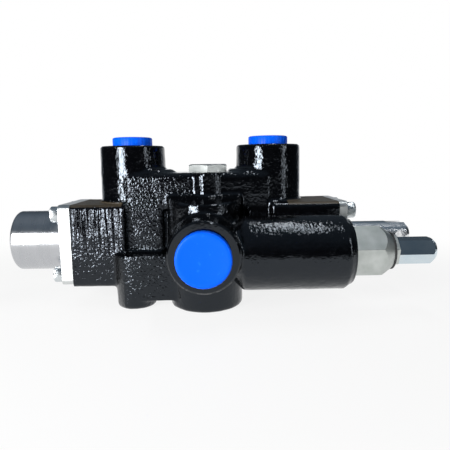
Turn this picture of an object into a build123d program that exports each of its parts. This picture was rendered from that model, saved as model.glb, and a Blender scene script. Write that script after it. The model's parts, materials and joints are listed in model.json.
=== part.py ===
from build123d import *
import os

# Single-spool monoblock directional valve, millimetres.
# X runs along the spool towards its link end, -Y is the inlet side, +Z is up.
# The origin lies on the mounting face, under the spool axis and in line with the inlet port.

# ---- Driving dimensions ----

# Casting
BODY_LENGTH = 143.0  # between the two machined end faces
SPOOL_HEIGHT = 33.5  # spool axis above the mounting face
FLANGE_SIZE = 44.6  # square section of the end flanges
FLANGE_DROP = 0.7  # middle of the flanges below the spool axis
FLANGE_CORNER = 3.0
CORE_HALF_LENGTH = 39.05
CORE_SHIFT = -3.55  # middle of the core, along X
CORE_SKIRT = 7.2  # how far the core flares out towards its foot
CORE_WIDTH = 38.0
CORE_RISE = 37.8  # top of the core above the spool axis
CORE_UNDERSIDE = 9.5  # clear height below the core
CORE_EDGE = 3.0
FLARE_TOP = 23.0  # flare starts this far above the spool axis
FLARE_BOTTOM = 1.0  # and ends here

# Work ports A and B, on top
WORK_PORT_SPACING = 76.5
WORK_PORT_SHIFT = -2.5  # middle of the pair, along X
WORK_BOSS_RADIUS = 17.9
WORK_BOSS_DRAFT = 0.5  # extra radius at the foot of the boss
WORK_BOSS_RISE = 52.5  # port face above the spool axis
WORK_BORE_RADIUS = 7.6  # tapping size of the G3/8 port thread
WORK_BORE_DEPTH = 13.0
WORK_PASSAGE_RADIUS = 5.5
WORK_PAD_REACH = 4.8  # flat pad on the core round each boss, beyond its wall
WORK_PAD_RISE = 1.8

# Inlet port P at the front, outlet port T at the back
PORT_BOSS_RADIUS = 17.2
PORT_BOSS_DRAFT = 1.6
INLET_FACE = 58.0  # port face from the spool axis, towards -Y
OUTLET_FACE = 40.0  # port face from the spool axis, towards +Y
PORT_BORE_RADIUS = 9.4  # tapping size of the G1/2 port thread
PORT_BORE_DEPTH = 16.0
PORT_PASSAGE_RADIUS = 6.0

# Column that carries the inlet boss, and the slim one up to the check valve
COLUMN_RADIUS = 19.5
COLUMN_SETBACK = 18.0  # column axis in front of the spool axis
COLUMN_RISE = 22.1  # front edge of its top above the spool axis
COLUMN_SLOPE = 3.6  # how far its top climbs back to the core
SLIM_COLUMN_RADIUS = 9.9
SLIM_COLUMN_SETBACK = 12.0

# Pilasters beside the column
PILASTER_INNER = 23.0  # inner flank, from X = 0
PILASTER_GROOVE = 5.0  # depth of the groove between pilaster and column
PILASTER_GROOVE_RISE = 18.6  # top of the groove above the spool axis

# Feet with tapped mounting holes
FOOT_RADIUS = 10.5
FOOT_SPACING_X = 76.0
FOOT_SPACING_Y = 39.0
FOOT_RISE = 29.0
FOOT_WEB_UNDERSIDE = 4.8  # of the web between the front foot and the column
BASE_EDGE = 2.2  # rounding under the feet and the column
MOUNT_HOLE_RADIUS = 3.4  # tapping size of M8
MOUNT_HOLE_DEPTH = 16.0

# Check valve in the top of the core
CHECK_X = 1.5
CHECK_PLUG_AF = 21.0
CHECK_PLUG_TURN = 30.0  # degrees, as it came to rest when tightened
CHECK_HEAD_HEIGHT = 4.4
CHECK_HEAD_CHAMFER = 0.9
CHECK_THREAD_RADIUS = 9.0
CHECK_THREAD_LENGTH = 11.0
CHECK_CAVITY_FLOOR = 17.0  # poppet seat above the spool axis
CHECK_SEAT_RADIUS = 4.5
CHECK_SEAL_DEPTH = 1.5
CHECK_POCKET_RADIUS = 5.0
CHECK_POCKET_DEPTH = 8.0
CHECK_SPRING_RADIUS = 3.9  # middle of the wire
CHECK_WIRE = 1.2
CHECK_TURNS = 5
CHECK_STEM_RADIUS = 2.9

# Relief valve beside the spool
RELIEF_SETBACK = 38.0
RELIEF_DROP = 1.9  # relief axis below the spool axis
RELIEF_BOSS_RADIUS = 18.5
RELIEF_BOSS_START = 14.0  # closed end of the boss, along X
RELIEF_BOSS_CHAMFER = 3.2
RELIEF_THREAD_RADIUS = 10.0
RELIEF_THREAD_LENGTH = 16.0
RELIEF_SEAT_RADIUS = 6.5
RELIEF_SEAT_LENGTH = 5.0
RELIEF_HEX_AF = 24.0
RELIEF_HEX_LENGTH = 13.7
RELIEF_HEX_TURN = 17.0  # degrees, as it came to rest when tightened
RELIEF_CONE_LENGTH = 6.8
RELIEF_CONE_END = 9.0
RELIEF_SPRING_BORE = 6.0
ADJUSTER_RADIUS = 4.0
ADJUSTER_LENGTH = 27.0
LOCK_NUT_AF = 14.0
LOCK_NUT_LENGTH = 2.4
SEAL_WASHER_RADIUS = 9.3
SEAL_WASHER_THICKNESS = 0.8
CAP_NUT_AF = 12.0
CAP_NUT_LENGTH = 19.2
CAP_NUT_BORE = 4.4
CAP_NUT_CROWN = 2.2
RELIEF_HOLE_RADIUS = 3.0
RELIEF_SPRING_START = 6.5  # from the seat face
RELIEF_SPRING_LENGTH = 16.0
RELIEF_SPRING_RADIUS = 4.4  # middle of the wire
RELIEF_WIRE = 1.6
RELIEF_TURNS = 5
RELIEF_SPIGOT = 2.8
RELIEF_BUTTON_THICKNESS = 2.5
ADJUSTER_PITCH = 1.25  # M8 thread
ADJUSTER_OUT = 1  # turns out from the set place

# Spool
SPOOL_RADIUS = 8.0
SPOOL_END = 117.0  # link end, along X
SPOOL_TRAVEL = 6.0  # each way from the middle
SPOOL_NECK_RADIUS = 5.6
SPOOL_CHAMFER = 2.6
FORK_SLOT = 6.2
FORK_DEPTH = 13.0
LINK_HOLE_RADIUS = 3.05
LINK_HOLE_FROM_END = 6.5
GALLERY_RADIUS = 11.0
GALLERY_WIDTH = 7.0
OUTER_GALLERY = 51.5  # tank galleries, from X = 0
BRIDGE_GALLERY = 20.0  # galleries each side of the middle one
SEAL_LEFT = -57.6  # middle of the left seal groove, along X
SEAL_RIGHT = 66.0
SEAL_WIDTH = 2.6
SEAL_DEPTH = 2.6  # of the groove, out from the spool
SEAL_SECTION = 1.22  # radius of the O-ring's section
WIPER_RADIUS = 11.0
WIPER_DEPTH = 2.6

# End covers
PLATE_SIZE = 43.4
PLATE_CORNER = 3.0
CAP_PLATE_THICKNESS = 6.2
END_PLATE_THICKNESS = 4.4
SCREW_SPACING = 33.0
SCREW_RADIUS = 2.5
SCREW_HEAD_RADIUS = 4.25
SCREW_HEAD_HEIGHT = 5.0
SCREW_GRIP = 12.0  # thread length in the casting
HEX_KEY_AF = 4.0
CAP_RADIUS = 16.8
CAP_LENGTH = 35.2  # from the flange face to the closed end
CAP_WALL = 3.0
CAP_FLOOR = 2.8
CAP_RIM_RADIUS = 18.6
CAP_RIM_THICKNESS = 2.4
CAP_EDGE = 1.6

# Centring spring
SPRING_SEAT_ROOM = 1.3  # from the seats to the inside of the cap
SPRING_SEAT_THICKNESS = 2.0
SPRING_SEAT_SLEEVE = 7.0
CENTRING_SPRING_INSET = 2.9  # from the rims of the seats to the middle of the wire
CENTRING_SPRING_LENGTH = 17.0
CENTRING_WIRE = 2.0
CENTRING_TURNS = 4
STEM_RADIUS = 4.5
STEM_BOLT_RADIUS = 3.0
STEM_HEAD_RADIUS = 5.0
STEM_HEAD_HEIGHT = 4.0

# Transport plugs
WORK_PLUG_RADIUS = 11.0
WORK_PLUG_HEIGHT = 4.8
PORT_PLUG_RADIUS = 12.9
PORT_PLUG_HEIGHT = 5.6
PLUG_WALL = 1.6
PLUG_FLUTES = 30
PLUG_FLUTE_RADIUS = 0.4

# Clearances
FIT = 0.04  # radial, sliding fits
THREAD_GAP = 0.05  # radial, drawn between mated threads
LOOSE = 0.3  # between neighbours that only pass each other

# ---- Derived places ----

FLANGE_FACE = BODY_LENGTH / 2
WORK_A = WORK_PORT_SHIFT - WORK_PORT_SPACING / 2
WORK_B = WORK_PORT_SHIFT + WORK_PORT_SPACING / 2
CORE_TOP = SPOOL_HEIGHT + CORE_RISE
WORK_FACE = SPOOL_HEIGHT + WORK_BOSS_RISE
RELIEF_HEIGHT = SPOOL_HEIGHT - RELIEF_DROP

# Each plane's x runs along an axis of rotation and its y is the radius.
SPOOL_AXIS = Plane(origin=(0, 0, SPOOL_HEIGHT), x_dir=(1, 0, 0), z_dir=(0, -1, 0))
RELIEF_AXIS = Plane(
    origin=(0, -RELIEF_SETBACK, RELIEF_HEIGHT), x_dir=(1, 0, 0), z_dir=(0, -1, 0)
)
INLET_AXIS = Plane(origin=(0, 0, SPOOL_HEIGHT), x_dir=(0, -1, 0), z_dir=(1, 0, 0))
OUTLET_AXIS = Plane(origin=(0, 0, SPOOL_HEIGHT), x_dir=(0, 1, 0), z_dir=(1, 0, 0))


def upright(x, y):
    """The plane of a vertical axis through (x, y): its x is height, its y is radius."""
    return Plane(origin=(x, y, 0), x_dir=(0, 0, 1), z_dir=(0, 1, 0))


def turned(plane, *points, mode=Mode.ADD):
    """Turn an outline of (along, radius) points about the plane's x axis."""
    with BuildSketch(plane) as outline:
        with BuildLine():
            Polyline(*points, close=True)
        make_face()
    return revolve(outline.sketch, axis=Axis(plane.origin, plane.x_dir), mode=mode)


def drum(plane, start, end, radius, mode=Mode.ADD):
    """A plain cylinder about the plane's x axis, from start to end along it."""
    return turned(
        plane, (start, 0), (end, 0), (end, radius), (start, radius), mode=mode
    )


def tube(plane, start, end, outer, inner, mode=Mode.ADD):
    """A plain tube about the plane's x axis, from start to end along it."""
    return turned(
        plane, (start, inner), (end, inner), (end, outer), (start, outer), mode=mode
    )


def hexagon_bar(plane, start, end, across_flats, turn=0.0, mode=Mode.ADD):
    """A hexagon bar along the plane's x axis, from start to end."""
    across = Plane(
        origin=plane.origin + plane.x_dir * start, x_dir=plane.y_dir, z_dir=plane.x_dir
    )
    with BuildSketch(across) as section:
        RegularPolygon(across_flats / 2, 6, major_radius=False, rotation=turn)
    return extrude(section.sketch, amount=end - start, mode=mode)


def chamfered_hexagon(plane, start, end, across_flats, turn, crown_start, crown_radius):
    """A hexagon bar whose corners are turned down to a cone from crown_start to the end."""
    hexagon_bar(plane, start, end, across_flats, turn)
    turned(
        plane,
        (start, 0),
        (start, across_flats),
        (crown_start, 0.57 * across_flats),
        (end, crown_radius),
        (end, 0),
        mode=Mode.INTERSECT,
    )


def ring(plane, place, radius, section):
    """A rubber ring about the plane's x axis, with an eight-sided section."""
    with BuildSketch(plane) as outline:
        with Locations((place, radius)):
            RegularPolygon(section, 8, major_radius=False, rotation=22.5)
    revolve(outline.sketch, axis=Axis(plane.origin, plane.x_dir))


def coil(plane, start, length, radius, wire, turns):
    """A spring about the plane's x axis, wound from start along it, in six-sided wire."""
    pitch = (length - wire) / turns
    base = Plane(
        origin=plane.origin + plane.x_dir * (start + wire / 2),
        x_dir=plane.y_dir,
        z_dir=plane.x_dir,
    )
    path = base.location * Helix(pitch, length - wire, radius)
    with BuildSketch(Plane(origin=path @ 0, z_dir=path % 0)) as section:
        RegularPolygon(wire / 2, 6)
    return sweep(section.sketch, path=path, is_frenet=True)


def finish(part, name):
    """Label a finished piece and write it out."""
    part.label = name
    export_step(part, f"parts/{name}.step")


os.makedirs("parts", exist_ok=True)

# ---- Casting ----

FOOT_X = FOOT_SPACING_X / 2
FOOT_Y = FOOT_SPACING_Y / 2
FEET = [(-FOOT_X, -FOOT_Y), (-FOOT_X, FOOT_Y), (FOOT_X, FOOT_Y)]
CHECK_FLOOR = SPOOL_HEIGHT + CHECK_CAVITY_FLOOR
CHECK_CAVITY_RADIUS = CHECK_THREAD_RADIUS - 1.2
COLUMN_TOP = SPOOL_HEIGHT + COLUMN_RISE + COLUMN_SLOPE
GROOVE_TOP = SPOOL_HEIGHT + PILASTER_GROOVE_RISE
GALLERIES = [0, -BRIDGE_GALLERY, BRIDGE_GALLERY, -OUTER_GALLERY, OUTER_GALLERY]
RELIEF_SEAT_FACE = FLANGE_FACE - RELIEF_THREAD_LENGTH
RELIEF_SEAT_START = RELIEF_SEAT_FACE - RELIEF_SEAT_LENGTH

with BuildPart() as valve_body:
    # Core, flared towards its foot, seen from the front and rounded all round.
    with BuildSketch(Plane.XZ.offset(-CORE_WIDTH / 2).move(Location((CORE_SHIFT, 0, 0)))):
        with BuildLine():
            top = SPOOL_HEIGHT + CORE_RISE
            flare_top = SPOOL_HEIGHT + FLARE_TOP
            flare_bottom = SPOOL_HEIGHT + FLARE_BOTTOM
            skirt = CORE_HALF_LENGTH + CORE_SKIRT
            Line((0, top), (CORE_HALF_LENGTH, top))
            Line((CORE_HALF_LENGTH, top), (CORE_HALF_LENGTH, flare_top))
            Spline(
                (CORE_HALF_LENGTH, flare_top),
                (skirt, flare_bottom),
                tangents=[(0.2, -1), (0, -1)],
            )
            Line((skirt, flare_bottom), (skirt, CORE_UNDERSIDE))
            Line((skirt, CORE_UNDERSIDE), (0, CORE_UNDERSIDE))
            mirror(about=Plane.YZ)
        make_face()
    extrude(amount=CORE_WIDTH)
    fillet(faces().filter_by(Axis.Y).edges(), CORE_EDGE)

    # End flanges.
    for side in (-1, 1):
        with BuildSketch(Plane.YZ.offset(side * FLANGE_FACE)):
            with Locations((0, SPOOL_HEIGHT - FLANGE_DROP)):
                RectangleRounded(FLANGE_SIZE, FLANGE_SIZE, FLANGE_CORNER)
        extrude(amount=-side * (FLANGE_FACE - CORE_HALF_LENGTH) + CORE_SHIFT)

    # Work-port bosses.
    for x in (WORK_A, WORK_B):
        turned(
            upright(x, 0),
            (SPOOL_HEIGHT, 0),
            (WORK_FACE, 0),
            (WORK_FACE, WORK_BOSS_RADIUS - 1),
            (WORK_FACE - 1, WORK_BOSS_RADIUS),
            (SPOOL_HEIGHT, WORK_BOSS_RADIUS + WORK_BOSS_DRAFT),
        )

    # Pads on top of the core, at the bosses' inner sides.
    with BuildSketch(Plane.XY.offset(CORE_TOP - CORE_EDGE)):
        with Locations((WORK_A, 0), (WORK_B, 0)):
            Circle(WORK_BOSS_RADIUS + WORK_PAD_REACH)
        with Locations((CORE_SHIFT, 0)):
            Rectangle(2 * CORE_HALF_LENGTH, CORE_WIDTH - 2 * CORE_EDGE, mode=Mode.INTERSECT)
    extrude(amount=CORE_EDGE + WORK_PAD_RISE)

    # Grooves that part the pilasters from the column.
    for side in (-1, 1):
        with BuildSketch(Plane.XY.offset(CORE_UNDERSIDE)):
            with Locations((side * PILASTER_INNER, -CORE_WIDTH / 2)):
                Rectangle(
                    PILASTER_INNER - COLUMN_RADIUS + 2 * PILASTER_GROOVE,
                    2 * PILASTER_GROOVE,
                    align=(Align.MAX if side > 0 else Align.MIN, Align.CENTER),
                )
        extrude(amount=GROOVE_TOP - CORE_UNDERSIDE, mode=Mode.SUBTRACT)

    # Inlet column with its sloping top, and the slim column above it.
    drum(upright(0, -COLUMN_SETBACK), 0, COLUMN_TOP, COLUMN_RADIUS)
    with BuildSketch(Plane.YZ):
        with BuildLine():
            column_front = -COLUMN_SETBACK - COLUMN_RADIUS
            Polyline(
                (-CORE_WIDTH / 2, COLUMN_TOP),
                (column_front, COLUMN_TOP - COLUMN_SLOPE),
                (column_front, COLUMN_TOP),
                close=True,
            )
        make_face()
    extrude(amount=COLUMN_RADIUS, both=True, mode=Mode.SUBTRACT)
    drum(upright(CHECK_X, -SLIM_COLUMN_SETBACK), SPOOL_HEIGHT, CORE_TOP, SLIM_COLUMN_RADIUS)

    # Inlet and outlet bosses.
    for plane, face in ((INLET_AXIS, INLET_FACE), (OUTLET_AXIS, OUTLET_FACE)):
        turned(
            plane,
            (0, 0),
            (face, 0),
            (face, PORT_BOSS_RADIUS - 0.8),
            (face - 0.8, PORT_BOSS_RADIUS),
            (0, PORT_BOSS_RADIUS + PORT_BOSS_DRAFT),
        )

    # Relief-valve boss and the web that ties it to the core.
    turned(
        RELIEF_AXIS,
        (RELIEF_BOSS_START, 0),
        (FLANGE_FACE, 0),
        (FLANGE_FACE, RELIEF_BOSS_RADIUS - RELIEF_BOSS_CHAMFER),
        (FLANGE_FACE - RELIEF_BOSS_CHAMFER, RELIEF_BOSS_RADIUS),
        (RELIEF_BOSS_START + 5, RELIEF_BOSS_RADIUS),
        (RELIEF_BOSS_START, RELIEF_BOSS_RADIUS - 5),
    )
    with BuildSketch(Plane.YZ.offset(RELIEF_BOSS_START)):
        with Locations((-RELIEF_SETBACK, RELIEF_HEIGHT)):
            Rectangle(RELIEF_SETBACK, 24, align=(Align.MIN, Align.CENTER))
    extrude(amount=FLANGE_FACE - RELIEF_BOSS_START - RELIEF_BOSS_CHAMFER)

    # Feet.
    for x, y in FEET:
        drum(upright(x, y), 0, FOOT_RISE, FOOT_RADIUS)
    fillet(edges().filter_by(GeomType.CIRCLE).group_by(Axis.Z)[0], BASE_EDGE)
    with BuildSketch(Plane.XY.offset(FOOT_WEB_UNDERSIDE)):
        with Locations((0, -FOOT_Y - FOOT_RADIUS)):
            Rectangle(FOOT_X, FOOT_RADIUS * 2, align=(Align.MAX, Align.MIN))
    extrude(amount=FOOT_RISE - FOOT_WEB_UNDERSIDE)
    for x, y in FEET:
        drum(upright(x, y), -1, MOUNT_HOLE_DEPTH, MOUNT_HOLE_RADIUS, mode=Mode.SUBTRACT)

    # Spool bore, its galleries and the seal grooves.
    drum(SPOOL_AXIS, -BODY_LENGTH, BODY_LENGTH, SPOOL_RADIUS + FIT, mode=Mode.SUBTRACT)
    for x in GALLERIES:
        drum(
            SPOOL_AXIS,
            x - GALLERY_WIDTH / 2,
            x + GALLERY_WIDTH / 2,
            GALLERY_RADIUS,
            mode=Mode.SUBTRACT,
        )
    for x in (SEAL_LEFT, SEAL_RIGHT):
        drum(
            SPOOL_AXIS,
            x - SEAL_WIDTH / 2,
            x + SEAL_WIDTH / 2,
            SPOOL_RADIUS + SEAL_DEPTH,
            mode=Mode.SUBTRACT,
        )

    # Work ports down to the spool.
    for x in (WORK_A, WORK_B):
        drum(upright(x, 0), SPOOL_HEIGHT, WORK_FACE, WORK_PASSAGE_RADIUS, mode=Mode.SUBTRACT)
        drum(
            upright(x, 0),
            WORK_FACE - WORK_BORE_DEPTH,
            WORK_FACE + 1,
            WORK_BORE_RADIUS,
            mode=Mode.SUBTRACT,
        )

    # Inlet and outlet ports.
    for plane, face in ((INLET_AXIS, INLET_FACE), (OUTLET_AXIS, OUTLET_FACE)):
        drum(plane, 0, face, PORT_PASSAGE_RADIUS, mode=Mode.SUBTRACT)
        drum(plane, face - PORT_BORE_DEPTH, face + 1, PORT_BORE_RADIUS, mode=Mode.SUBTRACT)

    # Check-valve cavity, with its seat edge over the middle gallery.
    drum(upright(CHECK_X, 0), SPOOL_HEIGHT, CHECK_FLOOR, CHECK_SEAT_RADIUS, mode=Mode.SUBTRACT)
    drum(upright(CHECK_X, 0), CHECK_FLOOR, CORE_TOP, CHECK_CAVITY_RADIUS, mode=Mode.SUBTRACT)
    drum(
        upright(CHECK_X, 0),
        CORE_TOP - CHECK_THREAD_LENGTH - 1,
        CORE_TOP + 1,
        CHECK_THREAD_RADIUS + THREAD_GAP,
        mode=Mode.SUBTRACT,
    )
    drum(
        upright(CHECK_X, 0),
        CORE_TOP - CHECK_SEAL_DEPTH,
        CORE_TOP + 1,
        CHECK_THREAD_RADIUS + CHECK_SEAL_DEPTH,
        mode=Mode.SUBTRACT,
    )

    # Relief-valve cavity: thread, seat pocket and the passage from the inlet.
    drum(
        RELIEF_AXIS,
        RELIEF_SEAT_FACE,
        FLANGE_FACE + 1,
        RELIEF_THREAD_RADIUS + THREAD_GAP,
        mode=Mode.SUBTRACT,
    )
    drum(
        RELIEF_AXIS,
        RELIEF_SEAT_START,
        FLANGE_FACE,
        RELIEF_SEAT_RADIUS + FIT,
        mode=Mode.SUBTRACT,
    )
    drum(RELIEF_AXIS, 0, FLANGE_FACE, CHECK_SEAT_RADIUS, mode=Mode.SUBTRACT)

    # Tapped holes for the cover screws.
    for side in (-1, 1):
        with Locations(Plane.YZ.offset(side * FLANGE_FACE)):
            with Locations((0, SPOOL_HEIGHT)):
                with GridLocations(SCREW_SPACING, SCREW_SPACING, 2, 2):
                    Cylinder(
                        SCREW_RADIUS + THREAD_GAP,
                        2 * (SCREW_GRIP + 2),
                        mode=Mode.SUBTRACT,
                    )

finish(valve_body.part, "valve_body")

# ---- Spool and what centres it ----

SPOOL_START = -(FLANGE_FACE - SPOOL_TRAVEL - LOOSE)
INNER_SEAT_FACE = -(FLANGE_FACE + SPRING_SEAT_THICKNESS)
OUTER_SEAT_FACE = INNER_SEAT_FACE - CENTRING_SPRING_LENGTH
STEM_HEAD_FACE = OUTER_SEAT_FACE - SPRING_SEAT_THICKNESS
SPRING_SEAT_RADIUS = CAP_RADIUS - CAP_WALL - SPRING_SEAT_ROOM
CENTRING_SPRING_RADIUS = SPRING_SEAT_RADIUS - CENTRING_SPRING_INSET
SEAT_SLEEVE_RADIUS = CENTRING_SPRING_RADIUS - CENTRING_WIRE / 2 - LOOSE
STEM_THREAD = 14.0
GALLERY_HALF = GALLERY_WIDTH / 2
# Reduced lengths between the lands. Each joins a work port to its neighbour at one end of the travel.
NECKS = [
    (-OUTER_GALLERY - 3, -OUTER_GALLERY + 1),
    (WORK_A + WORK_PASSAGE_RADIUS + SPOOL_TRAVEL - 1, -BRIDGE_GALLERY + 3),
    (-GALLERY_HALF - 2, GALLERY_HALF + 2),
    (BRIDGE_GALLERY - 3, WORK_B - WORK_PASSAGE_RADIUS - SPOOL_TRAVEL + 1),
    (OUTER_GALLERY - 4, OUTER_GALLERY + 3),
]

with BuildPart() as spool:
    turned(
        SPOOL_AXIS,
        (SPOOL_START, 0),
        (SPOOL_START, SPOOL_RADIUS - 0.6),
        (SPOOL_START + 0.6, SPOOL_RADIUS),
        (SPOOL_END - SPOOL_CHAMFER, SPOOL_RADIUS),
        (SPOOL_END, SPOOL_RADIUS - SPOOL_CHAMFER),
        (SPOOL_END, 0),
    )
    for start, end in NECKS:
        tube(SPOOL_AXIS, start, end, SPOOL_RADIUS + 1, SPOOL_NECK_RADIUS, mode=Mode.SUBTRACT)
    drum(
        SPOOL_AXIS,
        SPOOL_START,
        SPOOL_START + STEM_THREAD,
        STEM_BOLT_RADIUS + THREAD_GAP,
        mode=Mode.SUBTRACT,
    )
    # Fork for the lever link, with its cross hole.
    with BuildSketch(Plane.YZ.offset(SPOOL_END - FORK_DEPTH)):
        with Locations((0, SPOOL_HEIGHT)):
            Rectangle(FORK_SLOT, 3 * SPOOL_RADIUS)
    extrude(amount=FORK_DEPTH + 1, mode=Mode.SUBTRACT)
    with BuildSketch(Plane.XZ.offset(SPOOL_RADIUS)):
        with Locations((SPOOL_END - LINK_HOLE_FROM_END, SPOOL_HEIGHT)):
            Circle(LINK_HOLE_RADIUS)
    extrude(amount=-2 * SPOOL_RADIUS, mode=Mode.SUBTRACT)
finish(spool.part, "spool")

with BuildPart() as stem_bolt:
    drum(SPOOL_AXIS, STEM_HEAD_FACE, SPOOL_START + STEM_THREAD - 2, STEM_BOLT_RADIUS)
    turned(
        SPOOL_AXIS,
        (STEM_HEAD_FACE - STEM_HEAD_HEIGHT, 0),
        (STEM_HEAD_FACE - STEM_HEAD_HEIGHT, STEM_HEAD_RADIUS - 0.6),
        (STEM_HEAD_FACE - STEM_HEAD_HEIGHT + 0.6, STEM_HEAD_RADIUS),
        (STEM_HEAD_FACE, STEM_HEAD_RADIUS),
        (STEM_HEAD_FACE, 0),
    )
    hexagon_bar(
        SPOOL_AXIS,
        STEM_HEAD_FACE - STEM_HEAD_HEIGHT,
        STEM_HEAD_FACE - STEM_HEAD_HEIGHT / 2,
        HEX_KEY_AF,
        mode=Mode.SUBTRACT,
    )
finish(stem_bolt.part, "stem_bolt")

with BuildPart() as stem_spacer:
    tube(SPOOL_AXIS, OUTER_SEAT_FACE, SPOOL_START, STEM_RADIUS, STEM_BOLT_RADIUS + THREAD_GAP)
finish(stem_spacer.part, "stem_spacer")

with BuildPart() as spring_seat_inner:
    tube(
        SPOOL_AXIS, INNER_SEAT_FACE, -FLANGE_FACE, SPRING_SEAT_RADIUS, STEM_RADIUS + LOOSE
    )
    tube(
        SPOOL_AXIS,
        INNER_SEAT_FACE - SPRING_SEAT_SLEEVE / 2,
        INNER_SEAT_FACE,
        SEAT_SLEEVE_RADIUS,
        STEM_RADIUS + LOOSE,
    )
finish(spring_seat_inner.part, "spring_seat_inner")

with BuildPart() as spring_seat_outer:
    tube(
        SPOOL_AXIS,
        STEM_HEAD_FACE,
        OUTER_SEAT_FACE,
        SPRING_SEAT_RADIUS,
        STEM_BOLT_RADIUS + THREAD_GAP,
    )
    tube(
        SPOOL_AXIS,
        OUTER_SEAT_FACE,
        OUTER_SEAT_FACE + SPRING_SEAT_SLEEVE / 2,
        SEAT_SLEEVE_RADIUS,
        STEM_RADIUS + THREAD_GAP,
    )
finish(spring_seat_outer.part, "spring_seat_outer")

with BuildPart() as centring_spring:
    coil(
        SPOOL_AXIS,
        OUTER_SEAT_FACE,
        CENTRING_SPRING_LENGTH,
        CENTRING_SPRING_RADIUS,
        CENTRING_WIRE,
        CENTRING_TURNS,
    )
finish(centring_spring.part, "centring_spring")

for place, name in ((SEAL_LEFT, "spool_seal_left"), (SEAL_RIGHT, "spool_seal_right")):
    with BuildPart() as spool_seal:
        ring(SPOOL_AXIS, place, SPOOL_RADIUS + FIT + SEAL_SECTION, SEAL_SECTION)
    finish(spool_seal.part, name)

# ---- Covers on the end flanges ----


def cover_blank(start, end):
    """A square cover with rounded corners and four screw holes, from start to end along X."""
    with BuildSketch(Plane.YZ.offset(start)) as face:
        with Locations((0, SPOOL_HEIGHT)):
            RectangleRounded(PLATE_SIZE, PLATE_SIZE, PLATE_CORNER)
            with GridLocations(SCREW_SPACING, SCREW_SPACING, 2, 2):
                Circle(SCREW_RADIUS + LOOSE, mode=Mode.SUBTRACT)
    return extrude(face.sketch, amount=end - start)


def cover_screws(face, inward):
    """Four socket-head screws under a cover's outer face. inward points to the casting."""
    thickness = abs(face) - FLANGE_FACE
    with BuildPart() as screws:
        for y in (-SCREW_SPACING / 2, SCREW_SPACING / 2):
            for z in (-SCREW_SPACING / 2, SCREW_SPACING / 2):
                axis = Plane(
                    origin=(face, y, SPOOL_HEIGHT + z), x_dir=(inward, 0, 0), z_dir=(0, 1, 0)
                )
                turned(
                    axis,
                    (-SCREW_HEAD_HEIGHT, 0),
                    (-SCREW_HEAD_HEIGHT, SCREW_HEAD_RADIUS - 0.6),
                    (-SCREW_HEAD_HEIGHT + 0.6, SCREW_HEAD_RADIUS),
                    (0, SCREW_HEAD_RADIUS),
                    (0, SCREW_RADIUS),
                    (thickness + SCREW_GRIP, SCREW_RADIUS),
                    (thickness + SCREW_GRIP, 0),
                )
                hexagon_bar(
                    axis,
                    -SCREW_HEAD_HEIGHT,
                    -SCREW_HEAD_HEIGHT / 2,
                    HEX_KEY_AF,
                    mode=Mode.SUBTRACT,
                )
    return screws.part


CAP_PLATE_FACE = -(FLANGE_FACE + CAP_PLATE_THICKNESS)
END_PLATE_FACE = FLANGE_FACE + END_PLATE_THICKNESS

with BuildPart() as cap_plate:
    cover_blank(CAP_PLATE_FACE, -FLANGE_FACE)
    drum(SPOOL_AXIS, CAP_PLATE_FACE, -FLANGE_FACE, CAP_RADIUS + FIT, mode=Mode.SUBTRACT)
    drum(
        SPOOL_AXIS,
        -FLANGE_FACE - CAP_RIM_THICKNESS - FIT,
        -FLANGE_FACE,
        CAP_RIM_RADIUS + FIT,
        mode=Mode.SUBTRACT,
    )
finish(cap_plate.part, "cap_plate")

with BuildPart() as spring_cap:
    end = -FLANGE_FACE - CAP_LENGTH
    turned(
        SPOOL_AXIS,
        (-FLANGE_FACE, CAP_RADIUS - CAP_WALL),
        (-FLANGE_FACE, CAP_RIM_RADIUS),
        (-FLANGE_FACE - CAP_RIM_THICKNESS, CAP_RIM_RADIUS),
        (-FLANGE_FACE - CAP_RIM_THICKNESS, CAP_RADIUS),
        (end, CAP_RADIUS),
        (end, 0),
        (end + CAP_FLOOR, 0),
        (end + CAP_FLOOR, CAP_RADIUS - CAP_WALL),
    )
    fillet(edges().group_by(Axis.X)[0], CAP_EDGE)
finish(spring_cap.part, "spring_cap")

with BuildPart() as end_plate:
    cover_blank(FLANGE_FACE, END_PLATE_FACE)
    drum(SPOOL_AXIS, FLANGE_FACE, END_PLATE_FACE, SPOOL_RADIUS + LOOSE, mode=Mode.SUBTRACT)
    drum(
        SPOOL_AXIS,
        FLANGE_FACE,
        FLANGE_FACE + WIPER_DEPTH,
        WIPER_RADIUS + FIT,
        mode=Mode.SUBTRACT,
    )
finish(end_plate.part, "end_plate")

with BuildPart() as spool_wiper:
    turned(
        SPOOL_AXIS,
        (FLANGE_FACE, SPOOL_RADIUS + 1.2),
        (FLANGE_FACE, WIPER_RADIUS),
        (FLANGE_FACE + WIPER_DEPTH - 0.1, WIPER_RADIUS),
        (FLANGE_FACE + WIPER_DEPTH - 0.1, SPOOL_RADIUS + FIT),
        (FLANGE_FACE + WIPER_DEPTH - 0.8, SPOOL_RADIUS + FIT),
    )
finish(spool_wiper.part, "spool_wiper")

finish(cover_screws(CAP_PLATE_FACE, 1), "cap_plate_screws")
finish(cover_screws(END_PLATE_FACE, -1), "end_plate_screws")

# ---- Load-hold check valve ----

CHECK_AXIS = upright(CHECK_X, 0)
CHECK_PLUG_BOTTOM = CORE_TOP - CHECK_THREAD_LENGTH
CHECK_SPRING_FOOT = CHECK_FLOOR + 4.5
CHECK_SPRING_TOP = CHECK_PLUG_BOTTOM + CHECK_POCKET_DEPTH

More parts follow.
